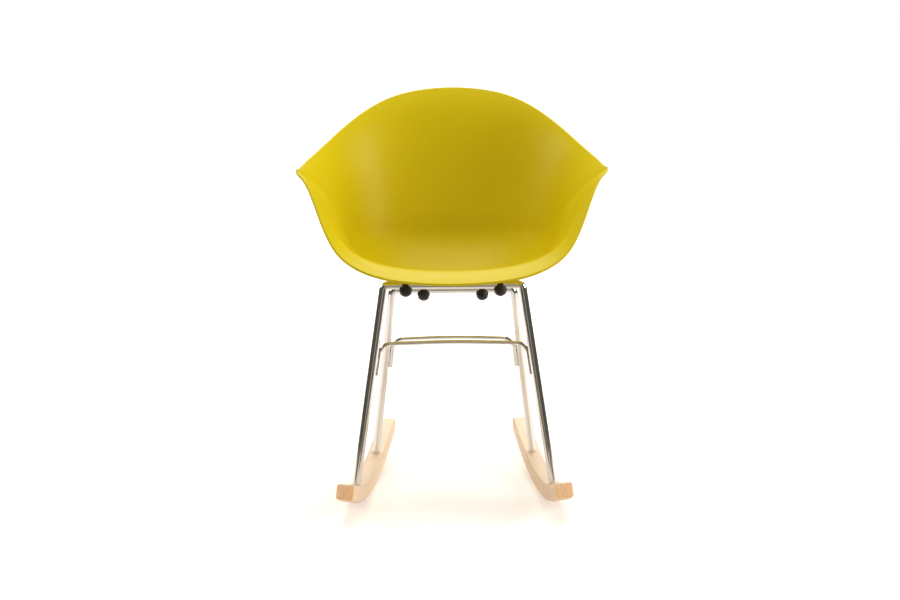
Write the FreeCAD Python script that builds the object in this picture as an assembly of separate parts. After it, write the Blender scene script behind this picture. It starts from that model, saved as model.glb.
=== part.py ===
import FreeCAD, Part
import math
import os
from FreeCAD import Vector

# Rocking chair with a moulded plastic tub seat, bent chrome tube legs and beech rockers.
# Millimetres. +Z is up and z = 0 is the floor. The sitter looks along -Y, and y = 0 lies
# over the line where the two rockers touch the floor. Left and right are the picture's.

# Seat shell: the four outer marks of its rim.
LIP_Y = -286.0
LIP_Z = 464.4
CROWN_Y = 262.0
CROWN_Z = 782.0
ARM_HALF_SPAN = 297.8
ARM_FRONT_Y = -128.0
ARM_FRONT_Z = 655.5
ARM_REAR_Y = -113.0
ARM_REAR_Z = 660.7
ARM_TIP_BULGE = 1.0

# Seat shell: the wall and the line down its middle.
WALL = 5.5
CREST_Y = -240.0
CREST_Z = 478.7
SEAT_LOW_Y = 57.0
SEAT_LOW_Z = 421.5
BEND_Y = 152.0
BEND_Z = 479.2
LUMBAR_Y = 193.0
LUMBAR_Z = 586.7
FLANK_TUCK = 42.0
SHOULDER_RISE = 3.0
SEAT_FULLNESS = 1.9
BACK_FULLNESS = 2.4

# Seat mounts: two pairs on the cross bars, square to the sloping seat pan.
MOUNT_TILT = 11.2
FRONT_MOUNT_X = 91.3
FRONT_MOUNT_Y = -139.5
FRONT_BOSS_HEIGHT = 3.5
REAR_MOUNT_X = 58.2
REAR_MOUNT_Y = 66.5
REAR_BOSS_HEIGHT = 11.1
BOSS_RADIUS = 12.0
BOSS_FLARE = 3.0
SPACER_HEIGHT = 4.5
SPACER_WRAP = 4.0
CLIP_WRAP = 3.5
PAD_RADIUS = 12.6
NECK_RADIUS = 10.0
NECK_FOOT = -2.0
SHOULDER_FOOT = -5.0
WASHER_HEIGHT = 7.0
GROOVE_HEIGHT = 1.2
GROOVE_DEPTH = 2.4
CAP_INSET = 0.5
CAP_HEIGHT = 8.0
SCREW_RADIUS = 3.0
SCREW_REACH = 6.0
SCREW_HEAD_RADIUS = 5.0
SCREW_HEAD_HEIGHT = 5.0
SCREW_HOLE_CLEARANCE = 0.3
INSERT_RADIUS = 4.5
INSERT_HEIGHT = 6.4
FIT_CLEARANCE = 0.05

# Leg frames: each is one bent tube.
TUBE_RADIUS = 8.0
TUBE_WALL = 1.5
LEG_BEND_RADIUS = 10.0
FRONT_BAR_HALF = 134.4
REAR_BAR_HALF = 121.5
FRONT_FOOT_ARC = -151.0
REAR_FOOT_ARC = 153.0

# Stretcher rods: bent down at the ends and welded to the legs.
ROD_RADIUS = 4.0
ROD_BEND_RADIUS = 25.0
ROD_TAIL = 62.0
ROD_RISE = 4.0
ROD_ARCH_RADIUS = 1500.0
FRONT_ROD_Z = 323.0
REAR_ROD_Z = 292.0
FRONT_ROD_TURN = 40.0
REAR_ROD_TURN = 0.0

# Rockers: bent beech, rolled inwards and turned out at the front.
ROCKER_RADIUS = 1008.0
ROCKER_WIDTH = 35.0
ROCKER_THICKNESS = 31.0
ROCKER_HALF_ARC = 321.0
ROCKER_HALF_GAUGE = 163.0
ROCKER_TOE = 6.2
ROCKER_ROLL = 5.0
ROCKER_EDGE_ROUND = 6.0
ROCKER_END_ROUND = 3.0

# Bolts through the rockers into threaded plugs in the leg ends.
BOLT_RADIUS = 4.0
BOLT_HEAD_RADIUS = 6.5
BOLT_HEAD_HEIGHT = 8.0
BOLT_REACH = 14.0
BOLT_HOLE_CLEARANCE = 0.5
WASHER_RADIUS = 8.0
WASHER_THICKNESS = 1.6
COUNTERBORE_CLEARANCE = 1.0
COUNTERBORE_DEPTH = 12.0
PLUG_LENGTH = 20.0

# Rim outlines as shares of the way from the arm tip to the middle of the edge:
# (place along the rim, share across, share towards the middle edge in y, the same in z).
CROWN_RIM = [
    (0.00, 0.000, 1.000, 1.000),
    (0.14, 0.207, 0.989, 0.967),
    (0.28, 0.404, 0.944, 0.864),
    (0.42, 0.588, 0.848, 0.657),
    (0.55, 0.741, 0.709, 0.403),
    (0.68, 0.855, 0.539, 0.193),
    (0.83, 0.945, 0.301, 0.062),
    (1.00, 1.000, 0.000, 0.000),
]
LIP_RIM = [
    (0.00, 0.000, 1.000, 1.000),
    (0.14, 0.204, 0.994, 0.989),
    (0.28, 0.401, 0.968, 0.953),
    (0.42, 0.580, 0.890, 0.875),
    (0.55, 0.724, 0.748, 0.732),
    (0.68, 0.818, 0.542, 0.504),
    (0.83, 0.895, 0.290, 0.223),
    (1.00, 0.991, 0.000, 0.000),
]

ACROSS_STEPS = 30
LIP_STATIONS = [0.0, 0.01, 0.025, 0.045, 0.07, 0.10, 0.15]
RUN_STEPS = 16


def turned(profile):
    """Solid of revolution about Z from (radius, height) corners.

    A third number bows the side that leads to its corner outwards by that much.
    """
    edges = []
    for before, corner in zip(profile[-1:] + profile[:-1], profile):
        start = Vector(before[0], 0, before[1])
        end = Vector(corner[0], 0, corner[1])
        if len(corner) == 2:
            edges.append(Part.LineSegment(start, end).toShape())
            continue
        outwards = Vector(abs(end.z - start.z), 0, end.x - start.x)
        outwards.z *= -1 if end.z > start.z else 1
        edges.append(Part.Arc(start, (start + end) / 2 + outwards.normalize() * corner[2], end).toShape())
    return Part.Face(Part.Wire(edges)).revolve(Vector(0, 0, 0), Vector(0, 0, 1), 360)


def stand_on(solid, origin, axis):
    """Moves a solid drawn about Z so that Z lies along axis at origin."""
    place = FreeCAD.Placement(origin, FreeCAD.Rotation(Vector(0, 0, 1), axis))
    placed = solid.copy()
    placed.Placement = place.multiply(solid.Placement)
    return placed


def mirrored(solid):
    return solid.mirror(Vector(0, 0, 0), Vector(1, 0, 0))


def rounded_path(corners, radii):
    """Wire through the corners, with an arc of its own radius at each inner one."""
    edges = []
    start = corners[0]
    for before, corner, after, radius in zip(corners, corners[1:], corners[2:], radii):
        back = (before - corner).normalize()
        ahead = (after - corner).normalize()
        half = back.getAngle(ahead) / 2
        trim = radius / math.tan(half)
        middle = (back + ahead).normalize()
        apex = corner + middle * (radius / math.sin(half) - radius)
        edges.append(Part.LineSegment(start, corner + back * trim).toShape())
        start = corner + ahead * trim
        edges.append(Part.Arc(corner + back * trim, apex, start).toShape())
    edges.append(Part.LineSegment(start, corners[-1]).toShape())
    return Part.Wire(edges)


def swept_bar(path, radius):
    """Round bar along a wire."""
    first = path.Edges[0]
    start = first.valueAt(first.FirstParameter)
    heading = first.tangentAt(first.FirstParameter)
    ring = Part.Wire(Part.makeCircle(radius, start, heading))
    return path.makePipeShell([ring], True, False)


# The surface of the tub. "across" runs from -1 at one arm tip to 1 at the other, and
# "run" from 0 at the front lip over the seat and up the back to 1 at the crown.

def curve_through(places, points):
    curve = Part.BSplineCurve()
    curve.interpolate(Points=points, Parameters=places)
    return curve


def rim_curve(outline, tip, middle):
    """Whole rim edge from arm tip to arm tip, the same on both sides."""
    places = []
    points = []
    for place, across, back, rise in outline:
        x = tip.x * across
        y = tip.y + (middle.y - tip.y) * back
        z = tip.z + (middle.z - tip.z) * rise
        places.append(place)
        points.append(Vector(x, y, z))
    other_places = [-place for place in reversed(places[1:])]
    other_points = [Vector(-p.x, p.y, p.z) for p in reversed(points[1:])]
    return curve_through(other_places + places, other_points + points)


def middle_curve():
    """Line down the middle of the seat and up the back, through named marks."""
    crest = Vector(0, CREST_Y, CREST_Z)
    low = Vector(0, SEAT_LOW_Y, SEAT_LOW_Z)
    bend = Vector(0, BEND_Y, BEND_Z)
    lumbar = Vector(0, LUMBAR_Y, LUMBAR_Z)
    crown = Vector(0, CROWN_Y, CROWN_Z)
    marks = [
        (0.00, Vector(0, LIP_Y, LIP_Z)),
        (0.02, Vector(0, LIP_Y + 0.38 * (CREST_Y - LIP_Y), LIP_Z + 0.46 * (CREST_Z - LIP_Z))),
        (0.05, crest),
        (0.12, crest + (low - crest) * 0.17),
        (0.25, crest + (low - crest) * 0.47 + Vector(0, 0, -6.3)),
        (0.37, crest + (low - crest) * 0.78 + Vector(0, 0, -6.4)),
        (0.46, low),
        (0.53, low + (bend - low) * 0.53 + Vector(0, 0, -19.7)),
        (0.60, bend + Vector(0, 4, 0)),
        (0.66, bend + (lumbar - bend) * 0.32 + Vector(0, 4, 0)),
        (0.75, lumbar),
        (0.86, lumbar + (crown - lumbar) * 0.467 + Vector(0, -5, 0)),
        (0.94, lumbar + (crown - lumbar) * 0.787 + Vector(0, -7, 0)),
        (1.00, crown),
    ]
    return curve_through([place for place, point in marks], [point for place, point in marks])


def smooth_step(value, low, high):
    share = min(max((value - low) / (high - low), 0.0), 1.0)
    return share * share * (3 - 2 * share)


class Tub:
    """Upper surface of the shell, and the places on it."""

    def __init__(self):
        crown = Vector(0, CROWN_Y, CROWN_Z)
        lip = Vector(0, LIP_Y, LIP_Z)
        self.crown_rim = rim_curve(CROWN_RIM, Vector(ARM_HALF_SPAN, ARM_REAR_Y, ARM_REAR_Z), crown)
        self.lip_rim = rim_curve(LIP_RIM, Vector(ARM_HALF_SPAN, ARM_FRONT_Y, ARM_FRONT_Z), lip)
        self.middle = middle_curve()

    def between_rims(self, across, run):
        return self.lip_rim.value(across) * (1 - run) + self.crown_rim.value(across) * run

    def point(self, across, run):
        """The rims' span, pushed down to the middle line and tucked in at the flanks."""
        side = abs(across)
        fullness = SEAT_FULLNESS + (BACK_FULLNESS - SEAT_FULLNESS) * smooth_step(run, 0.45, 0.75)
        depth = (self.middle.value(run) - self.between_rims(0, run)) * (1 - side ** fullness)
        hump = 4 * run * (1 - run)
        flank = 9.48 * side ** 3 * (1 - side)
        outward = hump * (ARM_TIP_BULGE * side ** 10 - FLANK_TUCK * flank)
        shoulder = smooth_step(run, 0, 0.07) * (1 - smooth_step(run, 0.07, 0.22))
        shoulder *= smooth_step(side, 0.15, 0.5) * (1 - smooth_step(side, 0.65, 1))
        aside = Vector(outward if across > 0 else -outward, 0, shoulder * SHOULDER_RISE)
        return self.between_rims(across, run) + depth + aside

    def slopes(self, across, run):
        step = 0.001
        right, left = min(across + step, 1), max(across - step, -1)
        far, near = min(run + step, 1), max(run - step, 0)
        along_across = self.point(right, run) - self.point(left, run)
        along_run = self.point(across, far) - self.point(across, near)
        return along_across.normalize(), along_run.normalize()

    def normal(self, across, run):
        """Unit normal on the sitter's side."""
        along_across, along_run = self.slopes(across, run)
        return along_across.cross(along_run).normalize()

    def under(self, across, run):
        """Point on the lower surface, a wall below the upper one."""
        return self.point(across, run) - self.normal(across, run) * WALL

    def place_above(self, x, y):
        """Place whose upper surface point has the wanted x and y, on the seat."""
        across, run = x / ARM_HALF_SPAN, (y - LIP_Y) / (CROWN_Y - LIP_Y)
        for step in range(40):
            miss = Vector(x, y, 0) - self.point(across, run)
            across += miss.x / ARM_HALF_SPAN * 0.8
            run += miss.y / (CROWN_Y - LIP_Y) * 0.5
        return across, run


def poles_through(places, rows):
    """Control points of the curve through each row, all on the same knots."""
    curves = [curve_through(places, row) for row in rows]
    return [curve.getPoles() for curve in curves], curves[0]


def surface_through(across_places, run_places, grid):
    """Smooth surface through a grid of points; grid[i][j] is at across i and run j."""
    by_run = [list(column) for column in zip(*grid)]
    across_poles, across_curve = poles_through(across_places, by_run)
    rows = [list(row) for row in zip(*across_poles)]
    poles, run_curve = poles_through(run_places, rows)
    surface = Part.BSplineSurface()
    surface.buildFromPolesMultsKnots(
        poles, across_curve.getMultiplicities(), run_curve.getMultiplicities(),
        across_curve.getKnots(), run_curve.getKnots(), False, False, 3, 3)
    return surface


def rim_face(places, upper, lower, outward):
    """Half-round edge strip between the two surfaces; outward lists its directions."""
    bulge = WALL / 2 * 4 / 3
    rows = [
        upper,
        [point + way * bulge for point, way in zip(upper, outward)],
        [point + way * bulge for point, way in zip(lower, outward)],
        lower,
    ]
    poles, curve = poles_through(places, rows)
    strip = Part.BSplineSurface()
    strip.buildFromPolesMultsKnots(
        poles, [4, 4], curve.getMultiplicities(), [0, 1], curve.getKnots(), False, False, 3, 3)
    return strip.toShape()


def tub_wall():
    """The shell's wall as one solid with a rounded rim."""
    tub = Tub()
    across_places = [-1 + 2 * step / ACROSS_STEPS for step in range(ACROSS_STEPS + 1)]
    first = LIP_STATIONS[-1]
    run_places = LIP_STATIONS + [first + (1 - first) * (step + 1) / RUN_STEPS for step in range(RUN_STEPS)]
    upper = [[tub.point(across, run) for run in run_places] for across in across_places]
    lower = [[tub.under(across, run) for run in run_places] for across in across_places]

    def outward_way(across, run, side_across, side_run):
        """Direction out of the surface across its edge; at a corner, the mean of both."""
        along_across, along_run = tub.slopes(across, run)
        normal = along_across.cross(along_run).normalize()
        way = Vector(0, 0, 0)
        if side_run:
            way += along_across.cross(normal).normalize() * (-side_run)
        if side_across:
            way += normal.cross(along_run).normalize() * (-side_across)
        return way.normalize()

    faces = [
        surface_through(across_places, run_places, upper).toShape(),
        surface_through(across_places, run_places, lower).toShape(),
    ]
    for side_run, run, column in ((-1, 0, 0), (1, 1, -1)):
        ways = []
        for across in across_places:
            corner = round(across) if abs(across) == 1 else 0
            ways.append(outward_way(across, run, corner, side_run))
        top = [row[column] for row in upper]
        bottom = [row[column] for row in lower]
        faces.append(rim_face(across_places, top, bottom, ways))
    for side_across, row in ((-1, 0), (1, -1)):
        ways = []
        for run in run_places:
            corner = {0: -1, 1: 1}.get(run, 0)
            ways.append(outward_way(side_across, run, side_across, corner))
        faces.append(rim_face(run_places, upper[row], lower[row], ways))
    shell = Part.makeShell(faces)
    shell.sewShape()
    wall = Part.Solid(shell)
    if wall.Volume < 0:
        wall.reverse()
    return tub, wall


class Mount:
    """One screwed joint between the shell and a cross bar, drawn about the screw's axis.

    The pieces are drawn with the cross bar along X through the origin and the shell above.
    """

    def __init__(self, tub, x, y, boss_height):
        tilt = math.radians(MOUNT_TILT)
        self.axis = Vector(0, math.sin(tilt), math.cos(tilt))
        self.boss_height = boss_height
        across, run = tub.place_above(x, y)
        root = tub.under(across, run)
        self.bar_point = root - self.axis * (boss_height + SPACER_HEIGHT + TUBE_RADIUS)

    def placed(self, solid):
        return stand_on(solid, self.bar_point, self.axis)


BOSS_FACE = TUBE_RADIUS + SPACER_HEIGHT
SADDLE_FOOT = -TUBE_RADIUS - WASHER_HEIGHT
SCREW_HOLE_RADIUS = SCREW_RADIUS + SCREW_HOLE_CLEARANCE


def boss(mount):
    """Boss from its face up into the wall, with a flared root."""
    root = BOSS_FACE + mount.boss_height
    inside = root + WALL * 0.6
    flare = min(BOSS_FLARE, mount.boss_height)
    return mount.placed(turned([
        (0, BOSS_FACE), (BOSS_RADIUS - 1, BOSS_FACE), (BOSS_RADIUS, BOSS_FACE + 1),
        (BOSS_RADIUS + flare * 0.2, root - flare * 0.7), (BOSS_RADIUS + flare, root + 1),
        (BOSS_RADIUS + flare * 0.5, inside), (0, inside)]))


def insert_pocket(mount):
    depth = INSERT_HEIGHT + FIT_CLEARANCE
    pocket = Part.makeCylinder(INSERT_RADIUS + FIT_CLEARANCE, depth + 1, Vector(0, 0, BOSS_FACE - 1))
    return mount.placed(pocket)


def insert(mount):
    """Knurled threaded insert, with a groove round its middle."""
    bore = SCREW_RADIUS + FIT_CLEARANCE
    waist = INSERT_RADIUS - 0.6
    height = INSERT_HEIGHT
    body = turned([
        (bore, 0), (INSERT_RADIUS, 0), (INSERT_RADIUS, height * 0.38), (waist, height * 0.44),
        (waist, height * 0.56), (INSERT_RADIUS, height * 0.62), (INSERT_RADIUS, height), (bore, height)])
    body.translate(Vector(0, 0, BOSS_FACE))
    return mount.placed(body)


def tube_groove():
    """What the cross bar takes out of a saddle."""
    length = 4 * PAD_RADIUS
    return Part.makeCylinder(
        TUBE_RADIUS + FIT_CLEARANCE, length, Vector(-length / 2, 0, 0), Vector(1, 0, 0))


def spacer(mount):
    """Pad between the cross bar and the boss, hollowed to sit on the tube."""
    foot = TUBE_RADIUS - SPACER_WRAP
    pad = turned([
        (SCREW_HOLE_RADIUS, foot), (NECK_RADIUS, foot), (NECK_RADIUS, BOSS_FACE - 0.5),
        (NECK_RADIUS - 0.5, BOSS_FACE), (SCREW_HOLE_RADIUS, BOSS_FACE)])
    return mount.placed(pad.cut(tube_groove()))


def clip(mount):
    """Pad under the cross bar, open at the top so that the tube drops into it.

    Its neck widens below the bar, and a narrow groove parts it from the cap.
    """
    collar = PAD_RADIUS - GROOVE_DEPTH
    brim = SADDLE_FOOT + GROOVE_HEIGHT
    pad = turned([
        (SCREW_HOLE_RADIUS, CLIP_WRAP), (SCREW_HOLE_RADIUS, SADDLE_FOOT), (collar, SADDLE_FOOT), (collar, brim),
        (PAD_RADIUS - 1, brim), (PAD_RADIUS, brim + 1.5), (PAD_RADIUS, SHOULDER_FOOT),
        (NECK_RADIUS, NECK_FOOT), (NECK_RADIUS, CLIP_WRAP)])
    width = TUBE_RADIUS + FIT_CLEARANCE
    slot = Part.makeBox(4 * width, 2 * width, 2 * CLIP_WRAP, Vector(-2 * width, -width, 0))
    return mount.placed(pad.cut(tube_groove()).cut(slot))


def screw_cap(mount):
    """Domed cover pushed over the screw's head."""
    socket = SCREW_HEAD_RADIUS + FIT_CLEARANCE
    socket_end = SADDLE_FOOT - SCREW_HEAD_HEIGHT - FIT_CLEARANCE
    edge = PAD_RADIUS - CAP_INSET
    chord = math.hypot(edge, CAP_HEIGHT)
    dome_radius = chord ** 2 / (2 * CAP_HEIGHT)
    bow = dome_radius - math.sqrt(dome_radius ** 2 - chord ** 2 / 4)
    return mount.placed(turned([
        (0, socket_end), (0, SADDLE_FOOT - CAP_HEIGHT), (edge, SADDLE_FOOT, bow),
        (socket, SADDLE_FOOT), (socket, socket_end)]))


def socket_screw(radius, length, head_radius, head_height):
    """Socket head screw drawn about Z, with its head under z = 0 and its shank above."""
    head = Part.makeCylinder(head_radius, head_height, Vector(0, 0, -head_height))
    shank = Part.makeCylinder(radius, length)
    key_corners = []
    for corner in range(7):
        turn = math.radians(60 * corner)
        reach = head_radius * 0.55
        key_corners.append(Vector(reach * math.cos(turn), reach * math.sin(turn), -head_height))
    key = Part.Face(Part.makePolygon(key_corners)).extrude(Vector(0, 0, head_height * 0.6))
    return head.fuse(shank).cut(key).removeSplitter()


def mount_screw(mount):
    length = BOSS_FACE + SCREW_REACH - SADDLE_FOOT
    screw = socket_screw(SCREW_RADIUS, length, SCREW_HEAD_RADIUS, SCREW_HEAD_HEIGHT)
    screw.translate(Vector(0, 0, SADDLE_FOOT))
    return mount.placed(screw)


# Rockers are drawn lying along Y over the contact line, with X outwards, and then rolled,
# toed out and stood on the floor.

def rocker_placement():
    roll = math.radians(ROCKER_ROLL)
    drop = ROCKER_EDGE_ROUND * (math.sin(roll) + math.cos(roll) - 1)
    toe_turn = FreeCAD.Rotation(Vector(0, 0, 1), ROCKER_TOE)
    roll_turn = FreeCAD.Rotation(Vector(0, 1, 0), -ROCKER_ROLL)
    return FreeCAD.Placement(Vector(ROCKER_HALF_GAUGE, 0, -drop), toe_turn.multiply(roll_turn))


def rounded_section(width, height, radius):
    """Rectangle in the XZ plane from the origin, with rounded corners."""
    edges = []
    cut = radius * (1 - math.sqrt(0.5))
    sides = [
        ((radius, 0), (width - radius, 0), (width - cut, cut)),
        ((width, radius), (width, height - radius), (width - cut, height - cut)),
        ((width - radius, height), (radius, height), (cut, height - cut)),
        ((0, height - radius), (0, radius), (cut, cut)),
    ]
    for side, following in zip(sides, sides[1:] + sides[:1]):
        start, end, apex = [Vector(x, 0, z) for x, z in side]
        corner_end = Vector(following[0][0], 0, following[0][1])
        edges.append(Part.LineSegment(start, end).toShape())
        edges.append(Part.Arc(end, apex, corner_end).toShape())
    return Part.Face(Part.Wire(edges))


def rocker_blank():
    """Bar bent to an arc, with rounded long edges and ends."""
    centre = Vector(0, 0, ROCKER_RADIUS + ROCKER_THICKNESS)
    sweep = math.degrees(ROCKER_HALF_ARC / ROCKER_RADIUS)
    section = rounded_section(ROCKER_WIDTH, ROCKER_THICKNESS, ROCKER_EDGE_ROUND)
    section.rotate(centre, Vector(1, 0, 0), -sweep)
    bar = section.revolve(centre, Vector(1, 0, 0), 2 * sweep)
    ends = [face for face in bar.Faces if face.Surface.TypeId == "Part::GeomPlane" and
            abs(face.normalAt(0, 0).y) > 0.7]
    return bar.makeFillet(ROCKER_END_ROUND, [edge for face in ends for edge in face.Edges])


class Foot:
    """Where a leg stands on the right rocker's top face."""

    def __init__(self, arc, bar_end):
        place = rocker_placement()
        angle = arc / ROCKER_RADIUS
        outer = ROCKER_RADIUS + ROCKER_THICKNESS
        local = Vector(ROCKER_WIDTH / 2, ROCKER_RADIUS * math.sin(angle), outer - ROCKER_RADIUS * math.cos(angle))
        self.point = place.multVec(local)
        self.normal = place.Rotation.multVec(Vector(0, -math.sin(angle), math.cos(angle)))
        self.leg_way = (bar_end - self.point).normalize()

    def placed(self, solid):
        """Moves a piece drawn about Z, with the rocker's top face at z = 0."""
        return stand_on(solid, self.point, self.leg_way)


PLUG_GAP = 0.8
BOLT_SEAT = COUNTERBORE_DEPTH - ROCKER_THICKNESS


def leg_plug(foot):
    """Threaded plug fixed in the end of a leg tube."""
    radius = TUBE_RADIUS - TUBE_WALL - FIT_CLEARANCE
    bore = BOLT_RADIUS + FIT_CLEARANCE
    top = PLUG_GAP + PLUG_LENGTH
    return foot.placed(turned([
        (bore, PLUG_GAP), (radius, PLUG_GAP), (radius, top - 1), (radius - 1, top), (bore, top)]))


def rocker_bolt(foot):
    length = BOLT_REACH - BOLT_SEAT + WASHER_THICKNESS
    bolt = socket_screw(BOLT_RADIUS, length, BOLT_HEAD_RADIUS, BOLT_HEAD_HEIGHT)
    bolt.translate(Vector(0, 0, BOLT_SEAT - WASHER_THICKNESS))
    return foot.placed(bolt)


def rocker_washer(foot):
    bore = BOLT_RADIUS + BOLT_HOLE_CLEARANCE
    foot_level = BOLT_SEAT - WASHER_THICKNESS
    return foot.placed(turned([
        (bore, foot_level), (WASHER_RADIUS, foot_level), (WASHER_RADIUS, BOLT_SEAT), (bore, BOLT_SEAT)]))


def rocker_hole(foot):
    """Bolt hole and the counterbore that hides the bolt's head."""
    hole = BOLT_RADIUS + BOLT_HOLE_CLEARANCE
    wide = WASHER_RADIUS + COUNTERBORE_CLEARANCE
    below = -2 * ROCKER_THICKNESS
    return foot.placed(turned([
        (0, below), (wide, below), (wide, BOLT_SEAT), (hole, BOLT_SEAT),
        (hole, ROCKER_THICKNESS), (0, ROCKER_THICKNESS)]))


def rocker(feet):
    bar = rocker_blank()
    bar.Placement = rocker_placement().multiply(bar.Placement)
    for foot in feet:
        bar = bar.cut(rocker_hole(foot))
    return bar


def mirror_point(point):
    return Vector(-point.x, point.y, point.z)


def leg_frame(foot, bar_end, mounts):
    """One bent tube: leg, cross bar and leg, cut off square on the rockers."""
    overrun = 3 * TUBE_RADIUS
    right_end = foot.point - foot.leg_way * overrun
    corners = [right_end, bar_end, mirror_point(bar_end), mirror_point(right_end)]
    path = rounded_path(corners, [LEG_BEND_RADIUS, LEG_BEND_RADIUS])
    tube = swept_bar(path, TUBE_RADIUS).cut(swept_bar(path, TUBE_RADIUS - TUBE_WALL))
    side = 4 * overrun
    below = Part.makeBox(side, side, side, Vector(-side / 2, -side / 2, FIT_CLEARANCE - side))
    below = stand_on(below, foot.point, foot.normal)
    tube = tube.cut(below).cut(mirrored(below))
    for mount in mounts:
        reach = 2 * TUBE_RADIUS
        hole = Part.makeCylinder(SCREW_HOLE_RADIUS, 2 * reach, Vector(0, 0, -reach))
        tube = tube.cut(mount.placed(hole))
    return tube


def stretcher_rod(foot, bar_end, height, turn):
    """Rod between two legs, arched a little, with tails running down the legs."""
    way = foot.leg_way
    share = (height - foot.point.z) / (bar_end.z - foot.point.z)
    on_leg = foot.point + (bar_end - foot.point) * share
    inward = Vector(-1, 0, 0) - way * (-way.x)
    inward.normalize()
    rearward = inward.cross(way).normalize() if inward.cross(way).y > 0 else way.cross(inward).normalize()
    angle = math.radians(turn)
    aside = inward * math.cos(angle) + rearward * math.sin(angle)
    knee = on_leg + aside * (TUBE_RADIUS + ROD_RADIUS + FIT_CLEARANCE)
    tail = knee - way * ROD_TAIL
    apex = Vector(0, knee.y, knee.z + ROD_RISE)
    corners = [tail, knee, apex, mirror_point(knee), mirror_point(tail)]
    path = rounded_path(corners, [ROD_BEND_RADIUS, ROD_ARCH_RADIUS, ROD_BEND_RADIUS])
    return swept_bar(path, ROD_RADIUS)


def save(name, solid):
    box = solid.BoundBox
    print(f"{name}: valid {solid.isValid()}, {len(solid.Solids)} solid, {solid.Volume:.0f} mm3, "
          f"x {box.XMin:.1f} {box.XMax:.1f}, y {box.YMin:.1f} {box.YMax:.1f}, z {box.ZMin:.1f} {box.ZMax:.1f}")
    solid.exportStep(f"parts/{name}.step")


def build():
    os.makedirs("parts", exist_ok=True)
    tub, shell = tub_wall()
    pairs = {}
    for row, x, y, boss_height in (
            ("front", FRONT_MOUNT_X, FRONT_MOUNT_Y, FRONT_BOSS_HEIGHT),
            ("rear", REAR_MOUNT_X, REAR_MOUNT_Y, REAR_BOSS_HEIGHT)):
        pairs[row] = {"left": Mount(tub, -x, y, boss_height), "right": Mount(tub, x, y, boss_height)}
    for row, sides in pairs.items():
        for side, mount in sides.items():
            shell = shell.fuse(boss(mount))
    for row, sides in pairs.items():
        for side, mount in sides.items():
            shell = shell.cut(insert_pocket(mount))
            save(f"mount_insert_{row}_{side}", insert(mount))
            save(f"mount_spacer_{row}_{side}", spacer(mount))
            save(f"mount_clip_{row}_{side}", clip(mount))
            save(f"mount_screw_{row}_{side}", mount_screw(mount))
            save(f"mount_cap_{row}_{side}", screw_cap(mount))
    save("seat_shell", shell)

    feet = {}
    for row, bar_half, arc, rod_z, rod_turn in (
            ("front", FRONT_BAR_HALF, FRONT_FOOT_ARC, FRONT_ROD_Z, FRONT_ROD_TURN),
            ("rear", REAR_BAR_HALF, REAR_FOOT_ARC, REAR_ROD_Z, REAR_ROD_TURN)):
        mounts = pairs[row]
        bar_point = mounts["right"].bar_point
        bar_end = Vector(bar_half, bar_point.y, bar_point.z)
        foot = Foot(arc, bar_end)
        feet[row] = foot
        save(f"{row}_leg_frame", leg_frame(foot, bar_end, mounts.values()))
        save(f"{row}_stretcher_rod", stretcher_rod(foot, bar_end, rod_z, rod_turn))
        for piece, make in (("leg_plug", leg_plug), ("rocker_bolt", rocker_bolt), ("rocker_washer", rocker_washer)):
            right = make(foot)
            save(f"{piece}_{row}_right", right)
            save(f"{piece}_{row}_left", mirrored(right))
    right_rocker = rocker(feet.values())
    save("rocker_right", right_rocker)
    save("rocker_left", mirrored(right_rocker))


build()
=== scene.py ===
# %% [markdown]
# # A moulded plastic rocking chair
#
# This lesson dresses a rocking chair that already has its exact shape. A tub of yellow plastic
# stands on two bent chrome frames, and these stand on two curved beech rockers. The shape comes
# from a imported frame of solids, so the work here is light, finish and the weld beads on the
# metal. Metres are used throughout, +Z is up, and the sitter looks along -Y.

# %% Load the chair's solids
import bpy
import math
from mathutils import Matrix, Vector


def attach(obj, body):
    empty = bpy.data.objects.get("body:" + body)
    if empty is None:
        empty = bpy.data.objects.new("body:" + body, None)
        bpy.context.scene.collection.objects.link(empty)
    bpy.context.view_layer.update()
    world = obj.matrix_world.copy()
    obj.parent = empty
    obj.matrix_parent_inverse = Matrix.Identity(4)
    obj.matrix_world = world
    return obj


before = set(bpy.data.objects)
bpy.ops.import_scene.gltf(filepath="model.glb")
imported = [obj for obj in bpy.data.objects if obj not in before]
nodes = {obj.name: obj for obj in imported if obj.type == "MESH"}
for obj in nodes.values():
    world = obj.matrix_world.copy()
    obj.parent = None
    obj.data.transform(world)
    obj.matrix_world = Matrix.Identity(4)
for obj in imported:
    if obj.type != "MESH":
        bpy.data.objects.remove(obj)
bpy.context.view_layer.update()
print("solids:", len(nodes))

# %% [markdown]
# ## The camera
#
# The picture was taken from far away with a long lens, nearly level, a little above the seat.
# A long lens keeps the front and the back of the chair almost the same size. The camera looks
# at a point above the floor in the middle of the chair, and leans by half a degree, because the
# chair stands that much askew in the photograph. Its three directions are written out as a
# matrix, because a lean about the line of sight is awkward to give as Euler angles.

# %% Camera
LENS_MM = 128.0
CAMERA_DISTANCE = 6.368
CAMERA_LIFT_DEG = 9.5
CAMERA_LEAN_DEG = -0.5
LOOK_AT = Vector((-0.006, 0.0, 0.3848))


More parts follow.
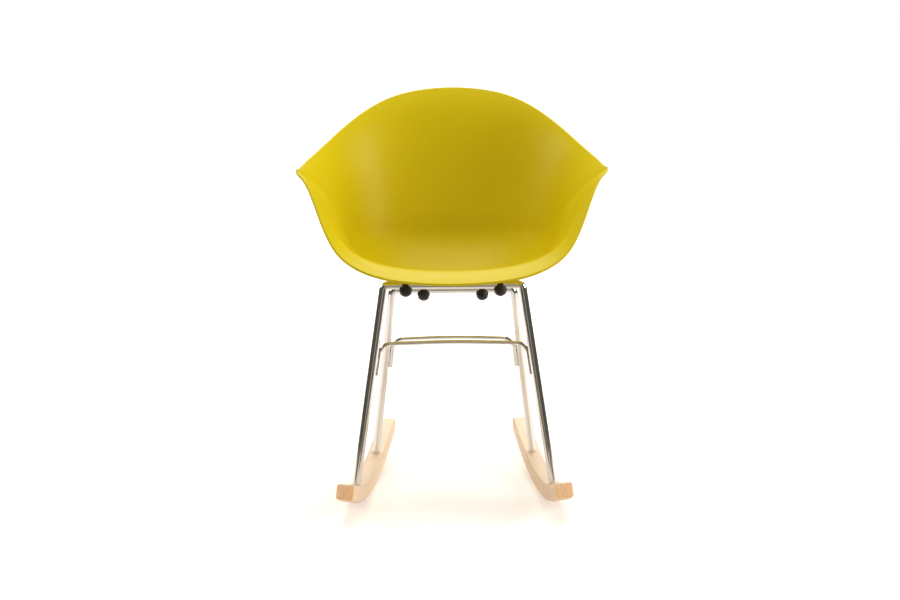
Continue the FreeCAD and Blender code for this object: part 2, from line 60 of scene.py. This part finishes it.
def aim_camera():
    lift = math.radians(CAMERA_LIFT_DEG)
    lean = math.radians(CAMERA_LEAN_DEG)
    ahead = Vector((0, math.cos(lift), -math.sin(lift)))
    side, up = Vector((1, 0, 0)), Vector((0, math.sin(lift), math.cos(lift)))
    right = side * math.cos(lean) + up * math.sin(lean)
    top = up * math.cos(lean) - side * math.sin(lean)
    data = bpy.data.cameras.new("camera")
    data.lens = LENS_MM
    data.sensor_width = 36.0
    data.clip_end = 60.0
    camera = bpy.data.objects.new("camera", data)
    place = Matrix((right, top, -ahead)).transposed().to_4x4()
    place.translation = LOOK_AT - ahead * CAMERA_DISTANCE
    camera.matrix_world = place
    bpy.context.collection.objects.link(camera)
    bpy.context.scene.camera = camera
    return camera


camera = aim_camera()
print("camera at", [round(v, 2) for v in camera.matrix_world.translation])

# %% [markdown]
# ## A small kit for node materials
#
# Every finish below is a node tree. Writing one by hand takes many lines that only place nodes
# and join sockets, so a few helpers do that: one adds a node with its settings, one mixes two
# colours by a mask, and one turns a value into another range. The finishes then read like a
# list of what the real surface has.

# %% Helpers for node trees
def add_node(tree, kind, inputs=None, **settings):
    node = tree.nodes.new(kind)
    for name, value in settings.items():
        setattr(node, name, value)
    for name, value in (inputs or {}).items():
        socket = node.inputs[name]
        if isinstance(value, bpy.types.NodeSocket):
            tree.links.new(value, socket)
        else:
            socket.default_value = value
    return node


def math_node(tree, operation, first, second=0.0):
    return add_node(tree, "ShaderNodeMath", {0: first, 1: second}, operation=operation).outputs[0]


def spread(tree, value, low, high, new_low, new_high):
    """The value's range stretched to a new one, cut off at its ends."""
    node = add_node(tree, "ShaderNodeMapRange", {
        "Value": value, "From Min": low, "From Max": high, "To Min": new_low, "To Max": new_high})
    return node.outputs["Result"]


def blend_colours(tree, mask, first, second, mode="MIX"):
    node = add_node(tree, "ShaderNodeMix", data_type="RGBA", blend_type=mode)
    for name, value in (("Factor", mask), ("A", first), ("B", second)):
        socket = [s for s in node.inputs if s.name == name and (name == "Factor" or s.type == "RGBA")][0]
        if isinstance(value, bpy.types.NodeSocket):
            tree.links.new(value, socket)
        else:
            socket.default_value = value
    return [s for s in node.outputs if s.type == "RGBA"][0]


def noise(tree, coordinates, scale, detail=2.0, roughness=0.5):
    node = add_node(tree, "ShaderNodeTexNoise", {
        "Vector": coordinates, "Scale": scale, "Detail": detail, "Roughness": roughness})
    return node.outputs["Fac"]


def new_material(name, **shader):
    """A material whose Principled shader has the given plain values, with its tree and shader."""
    material = bpy.data.materials.new(name)
    material.use_nodes = True
    tree = material.node_tree
    principled = tree.nodes["Principled BSDF"]
    for socket, value in shader.items():
        principled.inputs[socket.replace("_", " ")].default_value = value
    return material, tree, principled


def own_place(tree):
    return add_node(tree, "ShaderNodeTexCoord").outputs["Object"]


def finish_nodes(names, material):
    """Gives CAD solids a finish by their own material slots, so that their meshes stay as they are."""
    for name in names:
        for slot in nodes[name].material_slots:
            slot.link = "OBJECT"
            slot.material = material


def names_starting(*starts):
    return [name for name in nodes if name.startswith(starts)]


print("helpers ready")

# %% [markdown]
# ## Effects that several finishes share
#
# Two effects come back on most surfaces. Handling wears an edge a little smoother and paler
# than the face beside it, and nothing is equally shiny all over. Each effect is one shader node
# group with named inputs. The first compares the rounded-over normal that a Bevel node gives
# with the true one, which differ only near an edge. The second mixes two sizes of noise.

# %% Shared node groups
def group_with(name, inputs, outputs):
    group = bpy.data.node_groups.new(name, "ShaderNodeTree")
    for direction, sockets in (("INPUT", inputs), ("OUTPUT", outputs)):
        for socket_name, kind, value in sockets:
            socket = group.interface.new_socket(
                socket_name, in_out=direction, socket_type="NodeSocket" + kind)
            if value is not None:
                socket.default_value = value
    return group, group.nodes.new("NodeGroupInput").outputs, group.nodes.new("NodeGroupOutput").inputs


def make_edge_wear_group():
    group, given, result = group_with(
        "edge wear", [("Width", "Float", 0.002), ("Breakup", "Float", 0.5)], [("Mask", "Float", None)])
    rounded = add_node(group, "ShaderNodeBevel", {"Radius": given["Width"]}, samples=4).outputs["Normal"]
    true = add_node(group, "ShaderNodeNewGeometry").outputs["Normal"]
    compared = add_node(group, "ShaderNodeVectorMath", {0: rounded, 1: true}, operation="DOT_PRODUCT")
    likeness = compared.outputs["Value"]
    edge = spread(group, likeness, 0.995, 0.9, 0.0, 1.0)
    patchy = spread(group, noise(group, own_place(group), 90.0, 3.0), 0.35, 0.7, 0.0, 1.0)
    kept = math_node(group, "MULTIPLY", math_node(group, "SUBTRACT", 1.0, patchy), given["Breakup"])
    share = math_node(group, "SUBTRACT", 1.0, kept)
    group.links.new(math_node(group, "MULTIPLY", edge, share), result["Mask"])
    return group


def make_uneven_group():
    group, given, result = group_with(
        "uneven surface",
        [("Broad Scale", "Float", 9.0), ("Fine Scale", "Float", 140.0), ("Fine Share", "Float", 0.4)],
        [("Value", "Float", None)])
    place = own_place(group)
    broad = noise(group, place, given["Broad Scale"], 2.0)
    fine = noise(group, place, given["Fine Scale"], 3.0)
    mixed = add_node(group, "ShaderNodeMix", {0: given["Fine Share"], 2: broad, 3: fine}, data_type="FLOAT")
    group.links.new(mixed.outputs[0], result["Value"])
    return group


EDGE_WEAR = make_edge_wear_group()
UNEVEN = make_uneven_group()


def edge_wear(tree, width, breakup=0.5):
    node = add_node(tree, "ShaderNodeGroup", node_tree=EDGE_WEAR)
    node.inputs["Width"].default_value = width
    node.inputs["Breakup"].default_value = breakup
    return node.outputs["Mask"]


def uneven(tree, broad, fine, fine_share=0.4):
    node = add_node(tree, "ShaderNodeGroup", node_tree=UNEVEN)
    for name, value in (("Broad Scale", broad), ("Fine Scale", fine), ("Fine Share", fine_share)):
        node.inputs[name].default_value = value
    return node.outputs["Value"]


print("groups:", [group.name for group in bpy.data.node_groups])

# %% [markdown]
# ## The yellow shell
#
# The tub is coloured right through and comes out of a mould with a very fine spark-eroded
# grain, so it is satin: highlights are broad bands, never sharp. The colour is one deep yellow
# with hardly any blue in it. Light that bounces inside the bowl meets that yellow twice, which
# makes the shaded middle of the back warmer, and no paint is needed for that. The grain is a
# bump of fine noise, and the roughness wanders a little. The rim is handled most, so its edge
# is slightly smoother and paler.

# %% Shell plastic
def make_shell_plastic():
    material, tree, shader = new_material("shell plastic", IOR=1.49, Specular_IOR_Level=0.20,
                                          Specular_Tint=(1.0, 0.95, 0.60, 1))
    place = own_place(tree)
    patches = uneven(tree, 3.0, 60.0, 0.3)
    colour = blend_colours(tree, patches, (0.600, 0.455, 0.001, 1), (0.625, 0.477, 0.002, 1))
    rim = edge_wear(tree, 0.004, 0.7)
    paler = blend_colours(tree, math_node(tree, "MULTIPLY", rim, 0.35), colour, (0.68, 0.54, 0.06, 1))
    tree.links.new(paler, shader.inputs["Base Color"])
    rough = spread(tree, uneven(tree, 6.0, 220.0, 0.5), 0.3, 0.7, 0.38, 0.44)
    smoother = math_node(tree, "SUBTRACT", rough, math_node(tree, "MULTIPLY", rim, 0.08))
    tree.links.new(smoother, shader.inputs["Roughness"])
    grain = noise(tree, place, 1500.0, 2.0, 0.6)
    bump = add_node(tree, "ShaderNodeBump", {"Strength": 0.06, "Distance": 0.0004, "Height": grain})
    tree.links.new(bump.outputs["Normal"], shader.inputs["Normal"])
    return material


shell_plastic = make_shell_plastic()
finish_nodes(["seat_shell"], shell_plastic)
print("shell finished")

# %% [markdown]
# ## Chrome on the tube
#
# Chrome has almost no colour of its own, so what it shows is its surroundings: the white floor,
# the yellow of the seat above, and towards the camera a painted dark reflection, which the paper
# and the world show only to metal. The plating follows fine drawing marks that run along the
# tube, and hands leave faint cloudy patches. Both only move the roughness between very sharp and slightly
# soft.

# %% Chrome
def make_chrome():
    material, tree, shader = new_material("chrome plate", Metallic=1.0)
    place = own_place(tree)
    cloud = uneven(tree, 14.0, 160.0, 0.35)
    tint = blend_colours(tree, cloud, (0.80, 0.80, 0.79, 1), (0.87, 0.87, 0.87, 1))
    tree.links.new(tint, shader.inputs["Base Color"])
    stretched = add_node(tree, "ShaderNodeMapping", {"Vector": place, "Scale": (900.0, 900.0, 60.0)})
    marks = noise(tree, stretched.outputs["Vector"], 1.0, 2.0)
    both = math_node(tree, "MULTIPLY", marks, cloud)
    tree.links.new(spread(tree, both, 0.1, 0.45, 0.05, 0.13), shader.inputs["Roughness"])
    bump = add_node(tree, "ShaderNodeBump", {"Strength": 0.03, "Distance": 0.0002, "Height": marks})
    tree.links.new(bump.outputs["Normal"], shader.inputs["Normal"])
    return material


chrome = make_chrome()
tubes = names_starting("front_leg", "rear_leg", "front_stretcher", "rear_stretcher")
finish_nodes(tubes, chrome)
print("chrome on", tubes)

# %% [markdown]
# ## Weld beads
#
# Each stretcher rod ends in tails that lie along the legs, and a weld in the groove on both sides
# of a tail holds it there. A weld is a row of overlapping drops of metal that follows the groove,
# so it is a job for Geometry Nodes. The grooves are drawn as short straight edges. The node tree
# turns them into curves, sets points along them at an even pitch, and puts a slightly uneven drop
# on every point. Plating covers the drops together with the tubes, so they take the same chrome.
# The photograph is too small to show welds, so their size and place are a guess.

# %% Grooves beside the rod tails
TUBE_RADIUS, ROD_RADIUS = 0.008, 0.004
AXES_APART = 0.01205
BEAD_RADIUS = 0.0013
BEAD_SUNK = 0.0006
WELD_FROM, WELD_TO = 0.005, 0.034
BEAD_PITCH = 0.001
BEAD_SMALLEST, BEAD_LARGEST = 0.86, 1.1
BEAD_SEED = 4
# For the right front and right rear leg: a point on the leg's axis level with the end of the
# tail, the way up the leg, and the way from the leg's axis towards the tail's axis.
TAIL_JOINTS = {
    "front": ((0.16059, -0.14571, 0.26167), (-0.1463, 0.0107, 0.9892), (-0.7578, 0.6415, -0.1190)),
    "rear": ((0.13949, 0.10437, 0.23229), (-0.1055, -0.2480, 0.9630), (-0.9944, 0.0263, -0.1022)),
}


def groove_edges():
    """Ends of the straight groove on each side of every tail, on both sides of the chair."""
    from_tube, from_rod = TUBE_RADIUS + BEAD_SUNK, ROD_RADIUS + BEAD_SUNK
    towards_rod = (from_tube ** 2 - from_rod ** 2 + AXES_APART ** 2) / (2 * AXES_APART)
    off_plane = math.sqrt(from_tube ** 2 - towards_rod ** 2)
    edges = []
    for axis_point, leg_way, rod_side in TAIL_JOINTS.values():
        start, way, aside = Vector(axis_point), Vector(leg_way).normalized(), Vector(rod_side).normalized()
        across = way.cross(aside)
        for face in (-1, 1):
            foot = start + aside * towards_rod + across * (off_plane * face)
            ends = [foot + way * WELD_FROM, foot + way * WELD_TO]
            edges.append(ends)
            edges.append([Vector((-end.x, end.y, end.z)) for end in ends])
    return edges


grooves = groove_edges()
print("grooves:", len(grooves), "each", round((WELD_TO - WELD_FROM) * 1000), "mm long")

# %% Node tree that lays a weld along edges
def make_weld_tree():
    tree = bpy.data.node_groups.new("weld bead", "GeometryNodeTree")
    tree.is_modifier = True
    sockets = {}
    for name, kind in (("Grooves", "Geometry"), ("Pitch", "Float"), ("Drop Radius", "Float"),
                       ("Seed", "Int"), ("Plating", "Material")):
        item = tree.interface.new_socket(name, in_out="INPUT", socket_type="NodeSocket" + kind)
        sockets[name] = item.identifier
    tree.interface.new_socket("Weld", in_out="OUTPUT", socket_type="NodeSocketGeometry")
    given = tree.nodes.new("NodeGroupInput").outputs
    curves = add_node(tree, "GeometryNodeMeshToCurve", {"Mesh": given["Grooves"]})
    row = add_node(tree, "GeometryNodeResampleCurve", {
        "Curve": curves.outputs[0], "Length": given["Pitch"]}, mode="LENGTH")
    drop = add_node(tree, "GeometryNodeMeshIcoSphere", {"Radius": given["Drop Radius"], "Subdivisions": 2})
    size = add_node(tree, "FunctionNodeRandomValue", {"Seed": given["Seed"]}, data_type="FLOAT")
    for name, value in (("Min", BEAD_SMALLEST), ("Max", BEAD_LARGEST)):
        [s for s in size.inputs if s.name == name and s.type == "VALUE"][0].default_value = value
    drops = add_node(tree, "GeometryNodeInstanceOnPoints", {
        "Points": row.outputs[0], "Instance": drop.outputs[0],
        "Scale": [s for s in size.outputs if s.type == "VALUE" and s.enabled][0]})
    real = add_node(tree, "GeometryNodeRealizeInstances", {"Geometry": drops.outputs[0]})
    smooth = add_node(tree, "GeometryNodeSetShadeSmooth", {"Geometry": real.outputs[0]})
    plated = add_node(tree, "GeometryNodeSetMaterial", {
        "Geometry": smooth.outputs[0], "Material": given["Plating"]})
    tree.links.new(plated.outputs[0], tree.nodes.new("NodeGroupOutput").inputs["Weld"])
    return tree, sockets


def lay_welds():
    tree, sockets = make_weld_tree()
    lines = bpy.data.meshes.new("groove lines")
    ends = [end for edge in grooves for end in edge]
    lines.from_pydata(ends, [(2 * i, 2 * i + 1) for i in range(len(grooves))], [])
    guide = bpy.data.objects.new("groove lines", lines)
    bpy.context.collection.objects.link(guide)
    modifier = guide.modifiers.new("weld", "NODES")
    modifier.node_group = tree
    settings = {"Pitch": BEAD_PITCH, "Drop Radius": BEAD_RADIUS, "Seed": BEAD_SEED, "Plating": chrome}
    for name, value in settings.items():
        modifier[sockets[name]] = value
    bpy.context.view_layer.update()
    mesh = bpy.data.meshes.new_from_object(guide.evaluated_get(bpy.context.evaluated_depsgraph_get()))
    bpy.data.objects.remove(guide)
    mesh.name = "weld_beads"
    mesh.materials.clear()
    mesh.materials.append(chrome)
    mesh.polygons.foreach_set("material_index", [0] * len(mesh.polygons))
    welds = bpy.data.objects.new("weld_beads", mesh)
    bpy.context.collection.objects.link(welds)
    return welds


welds = lay_welds()
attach(welds, "root")
print("weld triangles:", len(welds.data.polygons), "in", [m.name for m in welds.data.materials])

# %% [markdown]
# ## Beech rockers
#
# Each rocker is one bar of pale beech bent to an arc of about a metre, so its grain follows the
# arc. The pattern therefore needs its own directions: across the bar, along the arc, and out from
# the arc's centre. They are worked out from Object coordinates in a node group, by turning the
# bar back square and then taking the angle and the distance round its centre. Beech shows soft
# growth bands, short dark flecks, and on the cut end the same growth layers as darker streaks,
# because open pores at the end soak up more lacquer.

# %% Directions that follow a rocker's arc
ROCKER_ARC_RADIUS = 1.039
ROCKER_TOE_DEG = 6.2
ROCKER_ROLL_DEG = 5.0
ROCKER_HALF_GAUGE = 0.163


def make_arc_group():
    """Object coordinates of a right rocker turned into across, along and outward distances."""
    group, given, result = group_with(
        "along the arc", [("Side", "Float", 1.0)], [("Place", "Vector", None), ("End", "Float", None)])
    place = add_node(group, "ShaderNodeSeparateXYZ", {0: own_place(group)}).outputs
    mirrored = math_node(group, "MULTIPLY", place["X"], given["Side"])
    x = math_node(group, "SUBTRACT", mirrored, ROCKER_HALF_GAUGE)
    toe, roll = math.radians(ROCKER_TOE_DEG), math.radians(ROCKER_ROLL_DEG)
    out = math_node(group, "ADD", math_node(group, "MULTIPLY", x, math.cos(toe)),
                    math_node(group, "MULTIPLY", place["Y"], math.sin(toe)))
    along = math_node(group, "SUBTRACT", math_node(group, "MULTIPLY", place["Y"], math.cos(toe)),
                      math_node(group, "MULTIPLY", x, math.sin(toe)))
    across = math_node(group, "ADD", math_node(group, "MULTIPLY", out, math.cos(roll)),
                       math_node(group, "MULTIPLY", place["Z"], math.sin(roll)))
    up = math_node(group, "SUBTRACT", math_node(group, "MULTIPLY", place["Z"], math.cos(roll)),
                   math_node(group, "MULTIPLY", out, math.sin(roll)))
    above = math_node(group, "SUBTRACT", ROCKER_ARC_RADIUS, up)
    angle = math_node(group, "ARCTAN2", along, above)
    reach = math_node(group, "SQRT", math_node(
        group, "ADD", math_node(group, "MULTIPLY", along, along), math_node(group, "MULTIPLY", above, above)))
    run = math_node(group, "MULTIPLY", angle, ROCKER_ARC_RADIUS)
    height = math_node(group, "SUBTRACT", ROCKER_ARC_RADIUS, reach)
    joined = add_node(group, "ShaderNodeCombineXYZ", {0: across, 1: run, 2: height})
    group.links.new(joined.outputs[0], result["Place"])
    normal = add_node(group, "ShaderNodeNewGeometry").outputs["Normal"]
    facing = add_node(group, "ShaderNodeSeparateXYZ", {0: normal})
    endwise = math_node(group, "ABSOLUTE", facing.outputs["Y"])
    group.links.new(spread(group, endwise, 0.7, 0.9, 0.0, 1.0), result["End"])
    return group


ALONG_THE_ARC = make_arc_group()
print("arc group sockets:", [item.name for item in ALONG_THE_ARC.interface.items_tree])

# %% Beech finish for each side
def make_beech(side_name, side):
    material, tree, shader = new_material(
        "beech " + side_name, IOR=1.5, Coat_Weight=0.12, Coat_Roughness=0.35)
    arc = add_node(tree, "ShaderNodeGroup", node_tree=ALONG_THE_ARC)
    arc.inputs["Side"].default_value = side
    place, end = arc.outputs["Place"], arc.outputs["End"]

    def grain(scale, detail=2.0, roughness=0.5):
        stretched = add_node(tree, "ShaderNodeMapping", {"Vector": place, "Scale": scale})
        return noise(tree, stretched.outputs["Vector"], 1.0, detail, roughness)

    bands = grain((90.0, 2.2, 260.0), 3.0, 0.55)
    fibres = grain((900.0, 18.0, 1400.0), 2.0)
    flecks = spread(tree, grain((420.0, 60.0, 700.0), 1.0), 0.62, 0.72, 0.0, 1.0)
    face = blend_colours(tree, bands, (0.95, 0.76, 0.56, 1), (0.91, 0.66, 0.43, 1))
    face = blend_colours(tree, spread(tree, fibres, 0.35, 0.75, 0.0, 0.35), face, (0.84, 0.58, 0.36, 1))
    face = blend_colours(tree, math_node(tree, "MULTIPLY", flecks, 0.35), face, (0.74, 0.46, 0.26, 1))
    layers = grain((110.0, 4.0, 1100.0), 2.0, 0.6)
    streaks = grain((520.0, 6.0, 50.0), 2.0, 0.6)
    layered = spread(tree, layers, 0.3, 0.7, 0.0, 1.0)
    cut = blend_colours(tree, layered, (0.97, 0.58, 0.28, 1), (0.98, 0.68, 0.40, 1))
    cut = blend_colours(tree, spread(tree, streaks, 0.42, 0.66, 0.0, 0.8), cut, (0.80, 0.39, 0.15, 1))
    colour = blend_colours(tree, end, face, cut)
    worn = edge_wear(tree, 0.003, 0.6)
    colour = blend_colours(tree, math_node(tree, "MULTIPLY", worn, 0.15), colour, (0.95, 0.78, 0.58, 1))
    tree.links.new(colour, shader.inputs["Base Color"])
    face_rough = spread(tree, fibres, 0.3, 0.7, 0.42, 0.55)
    rough = math_node(tree, "ADD", face_rough, math_node(tree, "MULTIPLY", end, 0.12))
    tree.links.new(rough, shader.inputs["Roughness"])
    relief = math_node(tree, "SUBTRACT", fibres, math_node(tree, "MULTIPLY", flecks, 0.5))
    bump = add_node(tree, "ShaderNodeBump", {"Strength": 0.12, "Distance": 0.0004, "Height": relief})
    tree.links.new(bump.outputs["Normal"], shader.inputs["Normal"])
    return material


for side_name, side in (("left", -1.0), ("right", 1.0)):
    finish_nodes(["rocker_" + side_name], make_beech(side_name, side))
print("beech on both rockers")

# %% [markdown]
# ## Black caps, pads and clips
#
# The pieces that clamp the cross bars to the shell are moulded in black. Black plastic is never
# quite black: it is a dark grey with a soft sheen, and dust and rubbing make its edges greyer.

# %% Black plastic
def make_black_plastic():
    material, tree, shader = new_material("black plastic", IOR=1.5)
    tone = uneven(tree, 30.0, 500.0, 0.5)
    colour = blend_colours(tree, tone, (0.007, 0.007, 0.008, 1), (0.016, 0.016, 0.017, 1))
    rubbed = edge_wear(tree, 0.0012, 0.6)
    colour = blend_colours(tree, math_node(tree, "MULTIPLY", rubbed, 0.3), colour, (0.05, 0.05, 0.05, 1))
    tree.links.new(colour, shader.inputs["Base Color"])
    tree.links.new(spread(tree, tone, 0.3, 0.7, 0.34, 0.5), shader.inputs["Roughness"])
    grain = noise(tree, own_place(tree), 2200.0, 2.0)
    bump = add_node(tree, "ShaderNodeBump", {"Strength": 0.15, "Distance": 0.0002, "Height": grain})
    tree.links.new(bump.outputs["Normal"], shader.inputs["Normal"])
    return material


black_plastic = make_black_plastic()
black_pieces = names_starting("mount_spacer", "mount_clip", "mount_cap")
finish_nodes(black_pieces, black_plastic)
print("black plastic on", len(black_pieces), "pieces")

# %% [markdown]
# ## Screws, bolts and inserts
#
# The hidden hardware still gets its own metals, because a maker who turns the chair over sees it:
# zinc on the steel screws, bolts, washers and plugs, and turned brass for the inserts. Zinc
# plate is a bluish grey with a cloudy, slightly patchy shine. The brass is just as patchy, but
# warmer and a little smoother.

# %% Zinc and brass
def make_hardware_metal(name, dull, bright, rough_low, rough_high):
    material, tree, shader = new_material(name, Metallic=1.0)
    patches = uneven(tree, 120.0, 900.0, 0.5)
    colour = blend_colours(tree, patches, dull, bright)
    worn = edge_wear(tree, 0.0006, 0.4)
    colour = blend_colours(tree, math_node(tree, "MULTIPLY", worn, 0.5), colour, bright)
    tree.links.new(colour, shader.inputs["Base Color"])
    tree.links.new(spread(tree, patches, 0.3, 0.7, rough_low, rough_high), shader.inputs["Roughness"])
    bump = add_node(tree, "ShaderNodeBump", {"Strength": 0.1, "Distance": 0.0001, "Height": patches})
    tree.links.new(bump.outputs["Normal"], shader.inputs["Normal"])
    return material


zinc = make_hardware_metal("zinc plate", (0.42, 0.44, 0.47, 1), (0.66, 0.68, 0.70, 1), 0.26, 0.40)
brass = make_hardware_metal("turned brass", (0.58, 0.42, 0.18, 1), (0.80, 0.62, 0.30, 1), 0.20, 0.34)
finish_nodes(names_starting("mount_screw", "rocker_bolt", "rocker_washer", "leg_plug"), zinc)
finish_nodes(names_starting("mount_insert"), brass)
print("hardware finished")

# %% [markdown]
# ## Floor and backdrop
#
# The chair stands on a seamless white sweep, one sheet of paper that rises behind the chair and
# ends a metre in front of it. For the camera the paper adds some light of its own, so that it
# reads as white while the shadows on it stay soft and warm. It adds more further back, where no
# shadow falls.
#
# Metal doesn't see quite what the camera sees. For glossy rays the paper turns dark well before
# its front edge, which nothing real in the scene would do. It is a shortcut: in white
# surroundings the front legs vanish, and the photograph shows dark stripes down them. A real
# dark floor beyond the paper would be the honest way to get them.

# %% Seamless sweep
PAPER_HALF = 1.7
PAPER_FRONT = -1.05
SWEEP_START = 7.0
SWEEP_RADIUS = 4.0
SWEEP_TOP = 14.0
OWN_LIGHT_NEAR = 0.34
OWN_LIGHT_IN_METAL = 0.05
OWN_LIGHT_FAR = 1.0
BRIGHTER_FROM, BRIGHTER_TO = 1.2, 4.0
DARK_FROM, DARK_TO = -0.50, -0.36
PAINTED_DARK_REFLECTION = (0.17, 0.145, 0.10, 1)


def make_sweep():
    profile = [(PAPER_FRONT, 0.0), (SWEEP_START, 0.0)]
    for step in range(1, 25):
        turn = math.pi / 2 * step / 24
        profile.append((SWEEP_START + SWEEP_RADIUS * math.sin(turn), SWEEP_RADIUS * (1 - math.cos(turn))))
    profile.append((SWEEP_START + SWEEP_RADIUS, SWEEP_TOP))
    points = [(x, y, z) for y, z in profile for x in (-PAPER_HALF, PAPER_HALF)]
    faces = [(2 * i, 2 * i + 1, 2 * i + 3, 2 * i + 2) for i in range(len(profile) - 1)]
    mesh = bpy.data.meshes.new("sweep")
    mesh.from_pydata(points, [], faces)
    mesh.polygons.foreach_set("use_smooth", [True] * len(faces))
    sweep = bpy.data.objects.new("sweep", mesh)
    bpy.context.collection.objects.link(sweep)
    return sweep


def make_sweep_paper():
    material, tree, shader = new_material("sweep paper", Roughness=0.9, Specular_IOR_Level=0.1)
    rays = add_node(tree, "ShaderNodeLightPath").outputs
    in_metal = math_node(tree, "MAXIMUM", rays["Is Glossy Ray"], rays["Is Transmission Ray"])
    place = add_node(tree, "ShaderNodeSeparateXYZ", {0: own_place(tree)}).outputs
    # Painted reflection: for glossy rays the paper turns dark towards the camera, which gives the front legs
    # their dark stripes.
    front = math_node(tree, "MULTIPLY", in_metal, spread(tree, place["Y"], DARK_FROM, DARK_TO, 1.0, 0.0))
    paper = blend_colours(tree, front, (0.88, 0.80, 0.72, 1), PAINTED_DARK_REFLECTION)
    tree.links.new(paper, shader.inputs["Base Color"])
    near = spread(tree, rays["Is Camera Ray"], 0.0, 1.0, OWN_LIGHT_IN_METAL, OWN_LIGHT_NEAR)
    own_light = spread(tree, place["Y"], BRIGHTER_FROM, BRIGHTER_TO, near, OWN_LIGHT_FAR)
    seen = math_node(tree, "MAXIMUM", rays["Is Camera Ray"], math_node(tree, "SUBTRACT", in_metal, front))
    tree.links.new(math_node(tree, "MULTIPLY", seen, own_light), shader.inputs["Emission Strength"])
    shader.inputs["Emission Color"].default_value = (1.0, 1.0, 1.0, 1)
    return material


sweep = make_sweep()
sweep.data.materials.append(make_sweep_paper())
print("sweep faces:", len(sweep.data.polygons))

# %% [markdown]
# ## Soft boxes
#
# Four large soft boxes light the chair. The one on the right stands low, and its reflection is the
# pale band on the left of the back. A big one overhead lights the seat and the lip, one behind
# brightens the floor and the top edge, and a small one on the left fills in. Each is placed by its
# compass angle round the seat, counted from the camera towards the right, and by its height angle.
# The world gives a weak even light, and the camera sees it as white. Metal sees it as a dark,
# warm room instead, which is the second half of the shortcut above. That room has one paler band,
# in the plane that parts the chair's left half from its right, and its front part is the streak
# down the middle of each front leg.

# %% Lamps and room
SEAT = Vector((0.0, 0.0, 0.5))
ROOM_LIGHT = 0.43
ROOM_IN_METAL = 0.085
STRIP_IN_METAL = 0.38
STRIP_CORE, STRIP_REACH = 0.04, 0.3


def soft_box(name, turn_deg, height_deg, distance, size, watts):
    turn, height = math.radians(turn_deg), math.radians(height_deg)
    way = Vector((
        math.cos(height) * math.sin(turn), -math.cos(height) * math.cos(turn), math.sin(height)))
    data = bpy.data.lights.new(name, "AREA")
    data.shape, data.size = "SQUARE", size
    data.energy = watts
    light = bpy.data.objects.new(name, data)
    light.location = SEAT + way * distance
    light.rotation_euler = (-way).to_track_quat("-Z", "Y").to_euler()
    bpy.context.collection.objects.link(light)
    return light


soft_box("low right", 78.0, 18.0, 3.6, 1.6, 66.0)
soft_box("left fill", -100.0, 27.0, 3.6, 1.2, 28.0)
soft_box("overhead", 180.0, 87.0, 3.7, 3.0, 102.0)
soft_box("behind", 180.0, 50.0, 4.2, 2.4, 42.0)

world = bpy.data.worlds.new("studio")
bpy.context.scene.world = world
world.use_nodes = True
room = world.node_tree
rays = add_node(room, "ShaderNodeLightPath").outputs
warm = blend_colours(room, rays["Is Glossy Ray"], (1, 1, 1, 1), (1.0, 0.93, 0.76, 1))
room.links.new(warm, room.nodes["Background"].inputs["Color"])
direction = add_node(room, "ShaderNodeTexCoord").outputs["Generated"]
heading = add_node(room, "ShaderNodeSeparateXYZ", {0: direction})
aside = math_node(room, "ABSOLUTE", heading.outputs["X"])
strip = spread(room, aside, STRIP_CORE, STRIP_REACH, STRIP_IN_METAL, ROOM_IN_METAL)
in_metal = spread(room, rays["Is Glossy Ray"], 0.0, 1.0, ROOM_LIGHT, strip)
seen = math_node(room, "MAXIMUM", in_metal, rays["Is Camera Ray"])
room.links.new(seen, room.nodes["Background"].inputs["Strength"])
bpy.context.scene.view_settings.view_transform = "Standard"
